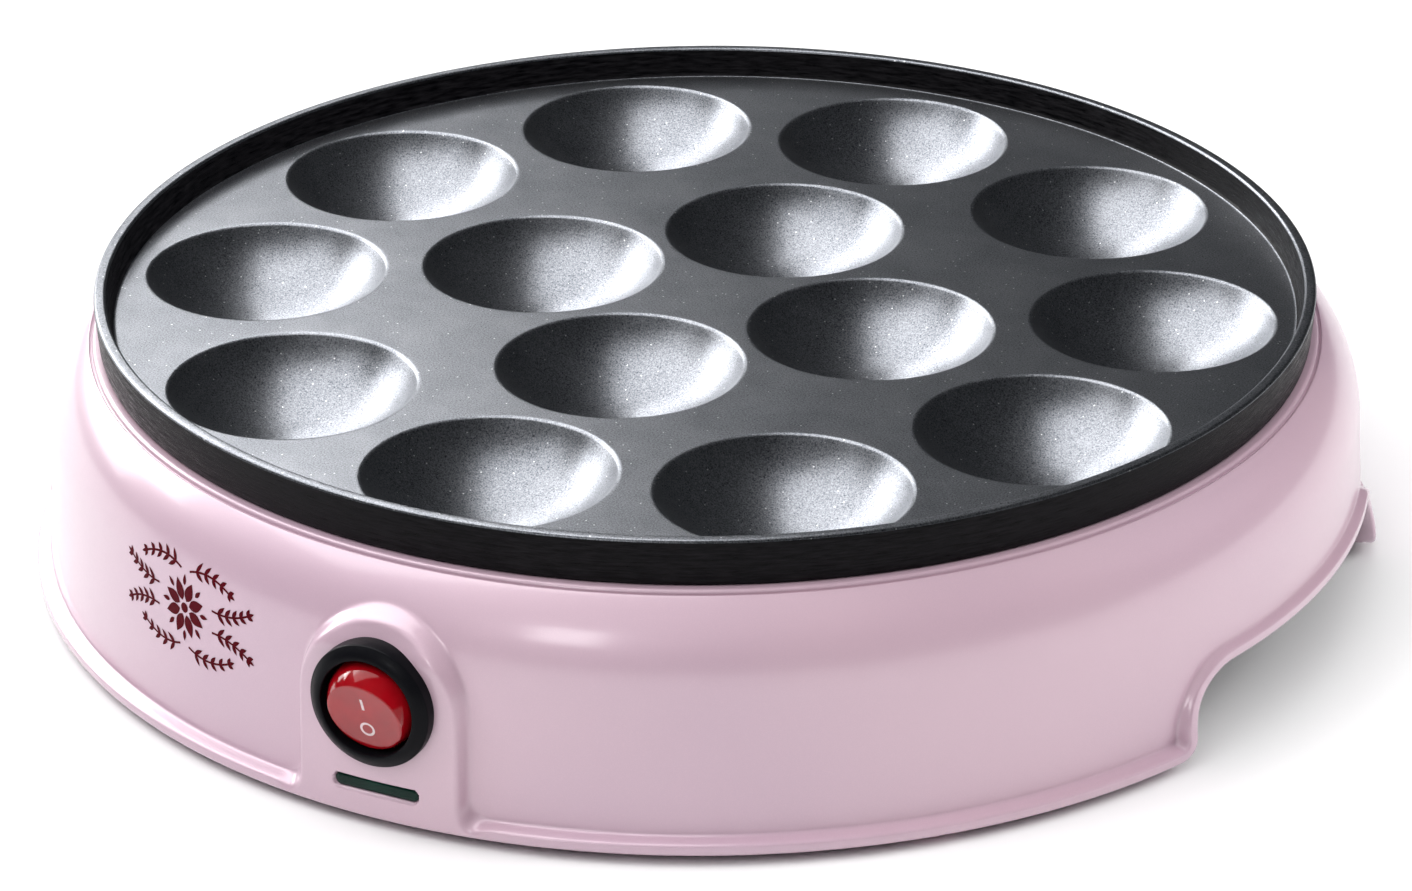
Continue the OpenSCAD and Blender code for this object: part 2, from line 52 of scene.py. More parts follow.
# ---------------------------------------------------------------- driving sizes, in mm, as in the CAD model
WALL_R = 124.0
WALL_T = 2.4
FOOT_H = 1.9
STRAIGHT_TOP = 31.0
SHOULDER_START_R = 122.3
SHOULDER_R = 20.0
FLANGE_R = 126.6
FLANGE_H = 2.5
GRIP_HALF = 43.4
GRIP_TOP = 16.3
GRIP_FLARE = 4.0                               # run-out of a grip's side into the lower edge
PLATE_Z = 49.4
PLATE_R = 110.1
PLATE_T = 3.0
RIM_TOP = 55.1
RIM_R = 113.4
LIP_TOP = 46.2
LIP_IN_R = 110.6
LIP_R = 114.2
BOWL_R = 22.5
BOWL_DEPTH = 12.0
BOWL_WALL = 2.4
BOWL_RINGS = ((10, 83.6), (4, 34.2))           # (number of bowls, radius of their ring)
SWITCH_Z = 24.4
PAD_HALF = 16.8
BEZEL_R = 11.5
BEZEL_T = 2.0
BARREL_R = 10.0
BARREL_END = -16.0
PIVOT = -2.3
ROCKER_R = 8.6
BORE_R = ROCKER_R + 0.3
ROCKER_FACE = 5.0
ROCKER_TILT = math.radians(16)
LENS_W = 16.8
LENS_H = 2.7
LENS_Z = 8.0
GLAND_Z = 12.0

# ---------------------------------------------------------------- sizes that only the looks have, in mm
GRIP_ROUND = 10.4                              # a grip's upper corner; it ends where the run-out begins
FLANGE_SLIM = 1.3                              # the band draws in by this much where it climbs round a grip
FLANGE_SLIM_Z = (3.0, 16.0)                    # and does so between these heights
PAD_Z = SWITCH_Z - 1.2                         # centre of the pad's arch
PAD_DRAFT = 0.039                              # radius lost per mm of height
PAD_LEAN = 2.3                                 # the pad's arch leans back with the shoulder
PAD_LEAN_START = 8.0                           # from this far above the arch's centre
PAD_FILLET = 4.5                               # reach of the fillet between the pad and the band
PAD_SURROUND = 5.0                             # this much of the wall beside the pad counts as near it
STEP_HALF = 0.6                                # half the width of the step from the wall to the band
PAD_STEP_MORE = 1.5                            # how much wider the step is at the pad
EDGE_ROUND = 0.9                               # rounding of the housing's lower edge
SLOT_SINK = 1.1                                # sink of the indicator's slot in the pad
SLOT_SOFT = 0.12                               # half the width of the slot's wall
SWITCH_HOLE_R = 9.6
GLAND_HOLE_R = 5.6
CROWN_Z = LIP_TOP - 0.75                       # height where the shoulder ends
BOWL_SURROUND = 0.35                           # flat ring that belongs to a bowl
FLAT_EDGE = PLATE_R - 1.0                      # where the plate's flat ends and its rim begins
UNDER_EDGE = LIP_IN_R - 1.6                    # edge of the plate's underside

# ---------------------------------------------------------------- how finely the surfaces are divided
BAND_DEPTHS = np.array([0, 0.1, 0.22, 0.38, 0.6, 0.9, 1.3, 1.7, 1.9, 2.1, 2.3, 2.5, 2.7, 2.9, 3.1, 3.3])
WALL_ROWS = ((10.2, 0.25), (32, 0.6), (36, 0.5), (43, 0.35))   # (up to this height, rows this far apart)
LAST_ROWS = 6                                  # rows from there to CROWN_Z
GRIP_COLUMNS = (22, 30, 23)                    # along a grip's top, its upper corner and its run-out
TURNS_TO_PAD = ((78, 75), (85.6, 51), (90, 49))                # (up to this turn in degrees, columns)
TURNS_TO_BACK = ((90, 89),)
FAN = (16.0, 62.0)                             # beside a grip the columns spread out above the band
RIM_STEPS = 320                                # columns round the plate's rim
SWITCH_STEPS = 128                             # and round the bezel and the rocker

DRAFT = math.atan((WALL_R - SHOULDER_START_R) / (STRAIGHT_TOP - FOOT_H))
SHOULDER_C = (SHOULDER_START_R - SHOULDER_R * math.cos(DRAFT), STRAIGHT_TOP - SHOULDER_R * math.sin(DRAFT))
BOWL_BALL = (BOWL_R ** 2 + BOWL_DEPTH ** 2) / (2 * BOWL_DEPTH)


# ---------------------------------------------------------------- small tools
def smooth_step(x, low, high):
    """0 below low, 1 above high, with no kink in slope or curvature between them."""
    t = np.clip((x - low) / (high - low), 0, 1)
    return t * t * t * (t * (6 * t - 15) + 10)


def smooth_max(a, b, reach):
    """The larger of two fields, rounded where they meet."""
    h = np.clip(0.5 + 0.5 * (a - b) / reach, 0, 1)
    return b * (1 - h) + a * h + reach * h * (1 - h)


def arc(centre, radius, start, end, steps):
    """Points of an arc, angles in degrees, both ends included."""
    angles = np.radians(np.linspace(start, end, steps + 1))
    return [(centre[0] + radius * math.cos(a), centre[1] + radius * math.sin(a)) for a in angles]


def circle(centre, radius, steps):
    """Points of a whole circle, without repeating the first."""
    return [(centre[0] + radius * math.cos(TAU * i / steps), centre[1] + radius * math.sin(TAU * i / steps))
            for i in range(steps)]


def grid_faces(rows, cols, wrap_rows=False, wrap_cols=False):
    """Quads between rows of points, each row cols long."""
    faces = []
    for j in range(rows if wrap_rows else rows - 1):
        low, high = j * cols, (j + 1) % rows * cols
        for i in range(cols if wrap_cols else cols - 1):
            k = (i + 1) % cols
            faces.append((low + i, low + k, high + k, high + i))
    return faces


def revolved(profile, segments, closed=True):
    """Points and quads of an outline (radius, height) carried round the z axis."""
    angles = np.arange(segments) * TAU / segments
    points = [(r * math.cos(a), r * math.sin(a), z) for r, z in profile for a in angles]
    return points, grid_faces(len(profile), segments, wrap_rows=closed, wrap_cols=True)


def joined(parts):
    """Several (points, faces) as one."""
    points, faces = [], []
    for more_points, more_faces in parts:
        base = len(points)
        points += [tuple(p) for p in more_points]
        faces += [tuple(base + i for i in f) for f in more_faces]
    return points, faces


def welded(points, faces, reach=0.004):
    """The same faces with points that lie on one another made one."""
    points = np.asarray(points)
    keys = np.round(points / reach).astype(np.int64)
    _, first, index = np.unique(keys, axis=0, return_index=True, return_inverse=True)
    index = index.reshape(-1)
    kept = []
    for face in faces:
        face = tuple(dict.fromkeys(int(index[i]) for i in face))
        if len(face) > 2:
            kept.append(face)
    return points[first], kept


def piece(name, points, faces, material, slot, body="root", stands_for=(), place=None, crease=0):
    """A smooth mesh piece from points in mm, riding on a body and standing for CAD nodes.

    Edges that bend by more than crease degrees stay sharp. With crease 0 none does.
    """
    mesh = bpy.data.meshes.new(name)
    points = np.asarray(points, dtype=float)
    if place is not None:
        matrix = np.array(place)
        points = points @ matrix[:3, :3].T + matrix[:3, 3]
    mesh.from_pydata((points * MM).tolist(), [], [tuple(int(i) for i in f) for f in faces])
    mesh.validate()
    mesh.materials.append(material)
    for polygon in mesh.polygons:
        polygon.use_smooth = True
    if crease:
        mesh.set_sharp_from_angle(angle=math.radians(crease))
    obj = bpy.data.objects.new(name, mesh)
    bpy.context.collection.objects.link(obj)
    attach(obj, body)
    if stands_for:
        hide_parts(*stands_for)
    return obj


# ---------------------------------------------------------------- tools for node materials
# Texture scales are per metre and bump distances in metres.
# A Mix node's colour sockets share their names with its others, so they go by number.
MIX_A, MIX_B, MIX_RESULT = 6, 7, 2


def new_material(name):
    """A node material, its tree and its shader."""
    material = bpy.data.materials.new(name)
    material.use_nodes = True
    return material, material.node_tree, material.node_tree.nodes["Principled BSDF"]


def connect(tree, made, inputs):
    """Sets a node's inputs to numbers and colours, or links them where the value is another node's output."""
    for key, value in inputs.items():
        if isinstance(value, bpy.types.NodeSocket):
            tree.links.new(value, made.inputs[key])
        else:
            made.inputs[key].default_value = value


def node(tree, kind, inputs, **settings):
    """A new node of a kind, with its inputs and its other settings."""
    made = tree.nodes.new(kind)
    for key, value in settings.items():
        setattr(made, key, value)
    connect(tree, made, inputs)
    return made


def maths(tree, operation, *inputs):
    """A number worked out from numbers and outputs."""
    return node(tree, "ShaderNodeMath", dict(enumerate(inputs)), operation=operation).outputs[0]


def noise(tree, vector, scale, detail, roughness=0.5):
    """A noise field. roughness is the weight of its finer detail."""
    inputs = {"Vector": vector, "Scale": scale, "Detail": detail, "Roughness": roughness}
    return node(tree, "ShaderNodeTexNoise", inputs).outputs["Fac"]


def cells(tree, vector, scale):
    """A pattern of cells."""
    return node(tree, "ShaderNodeTexVoronoi", {"Vector": vector, "Scale": scale})


def ramp(tree, source, *stops):
    """A colour ramp over source, from two stops of (position, colour)."""
    made = node(tree, "ShaderNodeValToRGB", {"Fac": source})
    for element, (position, colour) in zip(made.color_ramp.elements, stops):
        element.position = position
        element.color = (*colour, 1)
    return made.outputs["Color"]


def span(tree, source, low, high, from_low=0.0, from_high=1.0):
    """source carried from one range of numbers to another."""
    inputs = {"Value": source, "From Min": from_low, "From Max": from_high, "To Min": low, "To Max": high}
    return node(tree, "ShaderNodeMapRange", inputs).outputs["Result"]


def stretched(tree, vector, scale):
    """Coordinates multiplied by scale, axis by axis."""
    return node(tree, "ShaderNodeMapping", {"Vector": vector, "Scale": scale}).outputs["Vector"]


def object_coords(tree, scale=(1, 1, 1)):
    """Object coordinates, in metres, stretched by scale."""
    return stretched(tree, node(tree, "ShaderNodeTexCoord", {}).outputs["Object"], scale)


def bump(tree, height, strength, distance, under=None):
    """The normal of a bump, laid over the bump under it."""
    inputs = {"Height": height, "Strength": strength, "Distance": distance}
    if under is not None:
        inputs["Normal"] = under
    return node(tree, "ShaderNodeBump", inputs).outputs["Normal"]


def darker(colour, share):
    """A colour with that share of its brightness."""
    return tuple(c * share for c in colour)


# ---------------------------------------------------------------- materials
def pearl_paint(name):
    """Glossy pearl plastic: a fine flake under a clear top layer, with a slow waviness of the moulding."""
    material, tree, shader = new_material(name)
    vector = object_coords(tree)
    flake = cells(tree, vector, 5200.0).outputs["Distance"]
    shade = maths(tree, "MULTIPLY_ADD", flake, 0.25, noise(tree, vector, 14.0, 2.0))
    wave = bump(tree, noise(tree, vector, 26.0, 1.0), 0.08, 0.0006)
    connect(tree, shader, {
        "Base Color": ramp(tree, shade, (0.35, (0.520, 0.358, 0.452)), (0.85, (0.605, 0.420, 0.498))),
        "Roughness": span(tree, noise(tree, vector, 900.0, 3.0), 0.38, 0.48),
        "Metallic": 0.1,
        "Specular IOR Level": 1.0,
        "Coat Weight": 0.8,
        "Coat Roughness": 0.15,
        "Normal": bump(tree, noise(tree, vector, 1500.0, 1.0), 0.05, 0.00005, wave),
    })
    return material


def non_stick(name):
    """Dark metal-filled non-stick coating: a fine grain that glitters, and scattered pale flecks."""
    material, tree, shader = new_material(name)
    vector = object_coords(tree)
    grain = noise(tree, vector, 3400.0, 2.0, 0.7)
    cloud = noise(tree, vector, 70.0, 6.0, 0.62)
    shade = maths(tree, "ADD", grain, span(tree, cloud, -0.14, 0.14))
    fleck = cells(tree, vector, 1500.0)
    chosen = node(tree, "ShaderNodeSeparateColor", {"Color": fleck.outputs["Color"]})
    rare = maths(tree, "GREATER_THAN", chosen.outputs["Red"], 0.965)
    small = maths(tree, "LESS_THAN", fleck.outputs["Distance"], 0.22)
    flecked = node(tree, "ShaderNodeMix", {
        "Factor": maths(tree, "MULTIPLY", rare, small),
        MIX_A: ramp(tree, shade, (0.30, (0.070, 0.077, 0.090)), (0.70, (0.300, 0.308, 0.330))),
        MIX_B: (0.75, 0.76, 0.77, 1),
    }, data_type="RGBA")
    connect(tree, shader, {
        "Base Color": flecked.outputs[MIX_RESULT],
        "Roughness": span(tree, grain, 0.27, 0.39, 0.3, 0.7),
        "Metallic": 0.95,
        "Normal": bump(tree, grain, 0.25, 0.00008),
    })
    return material


def rim_painted_shade(name):
    """The plate's coating on the turned rim's outer faces, darkened to near black with little gloss as
    painted shade, with its real fine turning marks round it.
    """
    material, tree, shader = new_material(name)
    vector = node(tree, "ShaderNodeTexCoord", {}).outputs["Object"]
    split = node(tree, "ShaderNodeSeparateXYZ", {"Vector": vector}).outputs
    turn = maths(tree, "ARCTAN2", split["Y"], split["X"])
    unrolled = node(tree, "ShaderNodeCombineXYZ", {"X": turn, "Y": split["Z"]}).outputs["Vector"]
    marks = noise(tree, stretched(tree, unrolled, (22, 1700, 1)), 1.0, 5.0, 0.7)
    grain = bump(tree, noise(tree, vector, 2600.0, 3.0), 0.2, 0.00006)
    connect(tree, shader, {
        # the near-black colours and the low specular are painted shade; the turning marks in them are real
        "Base Color": ramp(tree, marks, (0.40, (0.001, 0.001, 0.0015)), (0.72, (0.014, 0.013, 0.015))),
        "Roughness": span(tree, marks, 0.26, 0.60, 0.35, 0.65),
        "Specular IOR Level": 0.07,
        "Normal": bump(tree, marks, 0.9, 0.00016, grain),
    })
    return material


def plastic(name, colour, roughness=0.35, grain=0.3, grain_scale=900.0, specular=0.5):
    """Moulded plastic: a slightly uneven colour and a fine moulded texture."""
    material, tree, shader = new_material(name)
    vector = object_coords(tree)
    texture = noise(tree, vector, grain_scale, 2.0)
    connect(tree, shader, {
        "Base Color": ramp(tree, noise(tree, vector, 60.0, 3.0),
                           (0.35, darker(colour, 0.86)), (0.65, colour)),
        "Roughness": span(tree, texture, roughness - 0.05, roughness + 0.07, 0.3, 0.7),
        "Specular IOR Level": specular,
        "Normal": bump(tree, texture, grain, 0.00006),
    })
    return material


def metal(name, colour, roughness=0.32, stretch=(40, 900, 900)):
    """Sheet or wire metal with fine drawn lines."""
    material, tree, shader = new_material(name)
    lines = noise(tree, object_coords(tree, stretch), 1.0, 4.0, 0.6)
    connect(tree, shader, {
        "Base Color": ramp(tree, lines, (0.3, darker(colour, 0.78)), (0.7, colour)),
        "Roughness": span(tree, lines, roughness - 0.08, roughness + 0.12, 0.3, 0.7),
        "Metallic": 1.0,
        "Normal": bump(tree, lines, 0.15, 0.00004),
    })
    return material


def clear_colour(name, colour, deep, roughness=0.08, transmission=0.35, coat=0.6, specular=0.5):
    """Tinted see-through plastic, deeper in colour in slow patches, under a polished skin."""
    material, tree, shader = new_material(name)
    vector = object_coords(tree)
    fine = noise(tree, vector, 700.0, 2.0)
    connect(tree, shader, {
        "Base Color": ramp(tree, noise(tree, vector, 180.0, 2.0), (0.3, deep), (0.7, colour)),
        "Roughness": span(tree, fine, roughness, roughness + 0.06, 0.3, 0.7),
        "Transmission Weight": transmission,
        "Specular IOR Level": specular,
        "Coat Weight": coat,
        "Coat Roughness": 0.04,
        "Normal": bump(tree, fine, 0.06, 0.00004),
    })
    return material


PINK = pearl_paint("pearl_pink")
# the rim's outer faces get the plate's coating darkened to near black, as painted shade
COATING = non_stick("plate_coating")
RIM_PAINTED_SHADE_COATING = rim_painted_shade("rim_coating_painted_shade")
DARK = plastic("dark_plastic", (0.0045, 0.0045, 0.006), 0.34, 0.18, 1400.0, specular=0.07)
RED = clear_colour("rocker_red", (0.35, 0.003, 0.008), (0.26, 0.002, 0.006),
                   transmission=0.05, coat=0.1, specular=0.18)
MARK_WHITE = plastic("mark_white", (0.80, 0.64, 0.66), 0.3, 0.05)
GREEN = clear_colour("lens_green", (0.003, 0.032, 0.021), (0.0015, 0.016, 0.011), 0.16,
                     transmission=0.1, coat=0.0, specular=0.15)
PRINT = plastic("print_red", (0.085, 0.001, 0.006), 0.5, 0.05, 1200.0, specular=0.04)

BY_SLOT = {
    "housing_pink": PINK,
    "foot_pink": plastic("foot_pink", (0.55, 0.36, 0.42), 0.45, 0.25),
    "plate_coating": COATING,
    "dark_plastic": DARK,
    "base_plastic": plastic("base_plastic", (0.050, 0.052, 0.056), 0.5, 0.6, 700.0),
    "rocker_red": RED,
    "lens_green": GREEN,
    "steel": metal("steel", (0.62, 0.62, 0.62)),
    "screw_steel": metal("screw_steel", (0.72, 0.72, 0.70), 0.25, (600, 600, 600)),
    "brass": metal("brass", (0.80, 0.58, 0.28), 0.28),
    "ceramic": plastic("ceramic", (0.78, 0.75, 0.68), 0.4, 0.2, 500.0),
    "nylon": plastic("nylon", (0.74, 0.72, 0.65), 0.42, 0.1),
    "lamp_glass": clear_colour("lamp_glass", (0.90, 0.55, 0.38), (0.75, 0.40, 0.25), 0.05, 0.7),
    "lamp_led": clear_colour("lamp_led", (0.10, 0.50, 0.18), (0.06, 0.36, 0.12), 0.08, 0.4),
    "wire_brown": plastic("wire_brown", (0.13, 0.045, 0.020), 0.4, 0.1),
    "wire_blue": plastic("wire_blue", (0.020, 0.075, 0.35), 0.4, 0.1),
    "wire_dark": plastic("wire_dark", (0.015, 0.015, 0.018), 0.4, 0.1),
    "wire_green": plastic("wire_green", (0.07, 0.26, 0.045), 0.4, 0.1),
}
for part in frame["record"]["subparts"]:
    cad_node = frame["nodes"][part["node"]]
    cad_node.data.materials.clear()
    cad_node.data.materials.append(BY_SLOT[part["material_slot"]])


# ---------------------------------------------------------------- housing
def wall_radius(z):
    """Outer radius of the plain wall and shoulder at height z."""
    z = np.asarray(z, dtype=float)
    straight = WALL_R - (z - FOOT_H) * math.tan(DRAFT)
    high = np.clip(z - SHOULDER_C[1], 0, SHOULDER_R - 0.01)    # short of the top, where the slope is endless
    return np.where(z < STRAIGHT_TOP, straight, SHOULDER_C[0] + np.sqrt(SHOULDER_R ** 2 - high ** 2))


def edge_distance(across, z):
    """Distance from the housing's lower edge, across being the distance from the middle of a grip."""
    out_of_reach = 1e3

    def to_level(start, end, level):
        past = across - np.clip(across, start, end)
        return np.hypot(past, z - level)

    def to_arc(cx, cz, radius, sign):
        dx, dz = (across - cx) * sign, (z - cz) * sign
        return np.where((dx >= 0) & (dz >= 0), np.abs(np.hypot(dx, dz) - radius), out_of_reach)

    return np.minimum.reduce([
        to_level(0, GRIP_HALF - GRIP_ROUND, GRIP_TOP),
        to_arc(GRIP_HALF - GRIP_ROUND, GRIP_TOP - GRIP_ROUND, GRIP_ROUND, 1),
        to_arc(GRIP_HALF + GRIP_FLARE, FOOT_H + GRIP_FLARE, GRIP_FLARE, -1),
        to_level(GRIP_HALF + GRIP_FLARE, out_of_reach, FOOT_H)])


def slot_depth(across, z):
    """Distance inside the indicator's slot, negative outside it."""
    half = (LENS_W - LENS_H) / 2
    return LENS_H / 2 - np.hypot(np.maximum(np.abs(across) - half, 0), z - LENS_Z)


def housing_radius(azimuth, z):
    """Outer radius of the housing with its flange band, raised pad and indicator slot blended in."""
    from_grip = np.minimum(np.abs(np.abs(azimuth) - math.pi / 2), math.pi / 2)
    edge = edge_distance(WALL_R * np.sin(from_grip), z)
    far_off = 300.0                            # the back of the housing has no pad
    across = np.where(np.cos(azimuth) > 0, FLANGE_R * np.sin(azimuth), far_off)
    above = np.maximum(z - PAD_Z, 0)
    pad = PAD_HALF - np.where(above > 0, np.hypot(across, above), np.abs(across))
    raised = smooth_max(FLANGE_H - edge, pad, PAD_FILLET)
    near_pad = smooth_step(pad, -PAD_SURROUND, 0.0)
    plain = wall_radius(z)
    outer = (FLANGE_R - PAD_DRAFT * np.maximum(z - 2 * FOOT_H, 0)
             - FLANGE_SLIM * smooth_step(z, *FLANGE_SLIM_Z) * (1 - near_pad)
             - PAD_LEAN * smooth_step(z, PAD_Z + PAD_LEAN_START, PAD_Z + PAD_HALF))
    step_end = STEP_HALF + PAD_STEP_MORE * near_pad
    radius = plain + (outer - plain) * smooth_step(raised, -STEP_HALF, step_end)
    lost = np.clip(1 - edge / EDGE_ROUND, 0, 1) ** 2 * 0.98    # just under 1, so the rounding's slope ends
    radius -= EDGE_ROUND * (1 - np.sqrt(1 - lost))
    radius -= SLOT_SINK * smooth_step(slot_depth(across, z), -SLOT_SOFT, SLOT_SOFT)
    return radius


def lower_edge(turn_rows):
    """Half of the lower edge, from the middle of a grip to a quarter turn away.

    Each row is (across, height, and the two parts of the direction that leads up into the wall).
    """
    top_columns, corner_columns, flare_columns = GRIP_COLUMNS
    level = np.linspace(0, GRIP_HALF - GRIP_ROUND, top_columns)[:-1]
    out = [(across, GRIP_TOP, 0, 1) for across in level]
    for a in np.radians(np.linspace(90, 0, corner_columns)):
        out.append((GRIP_HALF - GRIP_ROUND + GRIP_ROUND * math.cos(a),
                    GRIP_TOP - GRIP_ROUND + GRIP_ROUND * math.sin(a), math.cos(a), math.sin(a)))
    for a in np.radians(np.linspace(180, 270, flare_columns)[1:]):
        out.append((GRIP_HALF + GRIP_FLARE * (1 + math.cos(a)), FOOT_H + GRIP_FLARE * (1 + math.sin(a)),
                    -math.cos(a), -math.sin(a)))
    start = math.degrees(math.asin((GRIP_HALF + GRIP_FLARE) / WALL_R))
    for end, count in turn_rows:
        for turn in np.linspace(start, end, count + 1)[1:]:
            out.append((WALL_R * math.sin(math.radians(turn)), FOOT_H, 0, 1))
        start = end
    return np.array(out)


def wall_levels():
    """Heights of the wall's rows above the band, as shares of its height, from 0 to 1."""
    low_z = FOOT_H + BAND_DEPTHS[-1]
    levels, start = [], low_z
    for end, step in WALL_ROWS:
        levels.append(np.arange(start, end, step))
        start = end
    levels.append(np.linspace(start, CROWN_Z, LAST_ROWS))
    return (np.concatenate(levels) - low_z) / (CROWN_Z - low_z)


def wall_quarter(edge):
    """Turns from the middle of a grip and heights of the points of a quarter of the wall."""
    points = edge[:, :2][None] + BAND_DEPTHS[:, None, None] * edge[:, 2:][None]
    across, z = points[:, :, 0], points[:, :, 1]
    turn = np.arcsin(np.clip(across / WALL_R, -1, 1))
    on_floor = edge[:, 1] == FOOT_H
    turn[:, on_floor] = turn[0, on_floor]
    last_turn, last_z = turn[-1], z[-1]
    beside_grip = (last_turn > math.asin(FAN[0] / WALL_R)) & (last_turn < math.asin(FAN[1] / WALL_R))
    fan = np.where(beside_grip)[0]
    length = np.concatenate([[0], np.cumsum(np.hypot(np.diff(edge[:, 0]), np.diff(edge[:, 1])))])
    goal = last_turn.copy()
    goal[fan] = np.interp(length[fan], length[fan[[0, -1]]], last_turn[fan[[0, -1]]])
    t = wall_levels()[1:, None]
    spread = smooth_step(t, 0, 1)
    turn = np.vstack([turn, last_turn * (1 - spread) + goal * spread])
    return turn, np.vstack([z, last_z * (1 - t) + CROWN_Z * t])


def housing_mesh():
    """One sheet from the skirt inside the lower edge, over the outside, to the lip that carries the plate."""
    azimuths, heights = [], []
    for grip, side, turn_rows in ((90, -1, TURNS_TO_PAD), (90, 1, TURNS_TO_BACK),
                                  (270, -1, TURNS_TO_BACK), (270, 1, TURNS_TO_PAD)):
        turn, z = wall_quarter(lower_edge(turn_rows))
        azimuth = math.radians(grip) + side * turn
        if side < 0:
            azimuth, z = azimuth[:, ::-1], z[:, ::-1]
        azimuths.append(azimuth[:, 1:])
        heights.append(z[:, 1:])
    azimuth = (np.hstack(azimuths) + math.pi) % TAU - math.pi
    z = np.hstack(heights)
    radius = housing_radius(azimuth, z)
    count = azimuth.shape[1]
    # the skirt's three rows run down inside the band to the lower edge
    middle = 6
    rows = [(azimuth[j], z[j], wall_radius(z[j]) - WALL_T) for j in (len(BAND_DEPTHS) - 1, middle, 0)]
    rows += list(zip(azimuth, z, radius))
    # from the shoulder's end the crown dips into the groove under the rim and rises over the lip
    shoulder = float(wall_radius(CROWN_Z))
    crown = [(shoulder - 0.12, CROWN_Z + 0.08), (shoulder - 0.28, CROWN_Z + 0.04),
             (LIP_R + 0.4, CROWN_Z - 0.12), (LIP_R + 0.12, CROWN_Z - 0.3),
             (LIP_R - 0.02, CROWN_Z - 0.34), (LIP_R - 0.14, CROWN_Z - 0.28)]
    crown += arc((LIP_R - 0.9, LIP_TOP - 0.8), 0.75, 0, 90, 6)
    crown += [(LIP_IN_R + 1, LIP_TOP), (LIP_IN_R, LIP_TOP - 0.3), (LIP_IN_R, LIP_TOP - 2.2),
              (LIP_R - 1, LIP_TOP - 2.3)]
    rows += [(azimuth[-1], np.full(count, h), np.full(count, r)) for r, h in crown]
    points = np.concatenate([np.stack((r * np.sin(a), -r * np.cos(a), h), axis=1) for a, h, r in rows])
    faces = grid_faces(len(rows), count, wrap_cols=True)
    in_hole = np.zeros(len(points), dtype=bool)
    for side, height, reach in ((-1, SWITCH_Z, SWITCH_HOLE_R), (1, GLAND_Z, GLAND_HOLE_R)):
        in_hole |= (np.hypot(points[:, 0], points[:, 2] - height) < reach) & (points[:, 1] * side > 0)
    return points, [f for f in faces if not all(in_hole[i] for i in f)]


piece("housing_shell", *housing_mesh(), PINK, "housing_pink", stands_for=["housing"])


# ---------------------------------------------------------------- baking plate
def bowl_places():
    for count, ring in BOWL_RINGS:
        for i in range(count):
            a = TAU * i / count
            yield ring * math.sin(a), -ring * math.cos(a)


def bowl_rows(ball, surface, edge_round, steps):
    """Outline of one bowl from its flat surround to its lowest point, as (radius, height)."""
    centre_z = PLATE_Z + BOWL_BALL - BOWL_DEPTH
    rise = centre_z - surface
    edge_r = math.sqrt((ball + edge_round) ** 2 - (rise + edge_round) ** 2)
    tilt = math.atan2(edge_r, rise + edge_round)
    rows = [(edge_r + BOWL_SURROUND, surface)]
    rows += [(edge_r - edge_round * math.sin(t), surface - edge_round * (1 - math.cos(t)))
             for t in np.linspace(0, tilt, 7)]
    rows += [(ball * math.sin(t), centre_z - ball * math.cos(t)) for t in np.linspace(tilt, 0, steps)[1:-1]]
    return rows, centre_z - ball


def plate_face(ball, surface, outer_r, edge_round, steps, segments):
    """The plate's flat with its bowls, as (points, faces). ball is the radius of the bowls' curve."""
    rows, lowest = bowl_rows(ball, surface, edge_round, steps)
    hole_r = rows[0][0]
    angles = np.arange(segments) * TAU / segments
    loops = [circle((0, 0), outer_r, RIM_STEPS)]
    parts = []
    for x, y in bowl_places():
        loops.append([(x + hole_r * math.cos(a), y + hole_r * math.sin(a)) for a in angles])
        points = [(x + r * math.cos(a), y + r * math.sin(a), z) for r, z in rows for a in angles]
        faces = grid_faces(len(rows), segments, wrap_cols=True)
        points.append((x, y, lowest))
        last_row = (len(rows) - 1) * segments
        faces += [(last_row + i, last_row + (i + 1) % segments, len(points) - 1) for i in range(segments)]
        parts.append((points, faces))
    flat, edges = [], []
    for loop in loops:
        base = len(flat)
        flat += [Vector(p) for p in loop]
        edges += [(base + i, base + (i + 1) % len(loop)) for i in range(len(loop))]
    only_inside, closest = 1, 1e-5
    corners, _, triangles, *_ = geometry.delaunay_2d_cdt(flat, edges, [], only_inside, closest)
    places = np.array(list(bowl_places()))
    faces = []
    for triangle in triangles:
        middle = sum((corners[i] for i in triangle), Vector((0, 0))) / len(triangle)
        if np.hypot(*(places - np.array(middle)).T).min() > hole_r - 0.02:
            faces.append(tuple(triangle))
    parts.append(([(p.x, p.y, surface) for p in corners], faces))
    return joined(parts)


top_face = plate_face(BOWL_BALL, PLATE_Z, FLAT_EDGE, edge_round=1.0, steps=30, segments=112)
under_face = plate_face(BOWL_BALL + BOWL_WALL, PLATE_Z - PLATE_T, UNDER_EDGE,
                        edge_round=0.3, steps=14, segments=64)
plate_points, plate_faces = joined([top_face, under_face])
piece("plate_with_bowls", *welded(plate_points, plate_faces), COATING, "plate_coating",
      stands_for=["baking_plate"])

# the rim's outline goes up its inner face, over its top, down its outer face and under it to the plate's back
rim_profile = [(FLAT_EDGE, PLATE_Z), (FLAT_EDGE + 0.3, PLATE_Z)]
rim_profile += arc((FLAT_EDGE + 0.3, PLATE_Z + 0.9), 0.9, -90, -12, 5)[1:]
rim_profile += arc((RIM_R - 1.8, RIM_TOP - 0.55), 0.55, 168, 90, 5)
rim_profile += arc((RIM_R - 0.75, RIM_TOP - 0.65), 0.65, 90, 0, 6)
rim_profile += [(RIM_R - 0.4, PLATE_Z + 1.5), (RIM_R - 0.7, LIP_TOP + 1.2)]
rim_profile += arc((RIM_R - 1.6, LIP_TOP + 0.85), 0.8, -5, -90, 4)
rim_profile += [(LIP_IN_R - 0.3, LIP_TOP), (LIP_IN_R - 0.3, LIP_TOP - 1.4), (LIP_IN_R - 1.5, LIP_TOP - 1.4),
                (UNDER_EDGE, PLATE_Z - PLATE_T)]
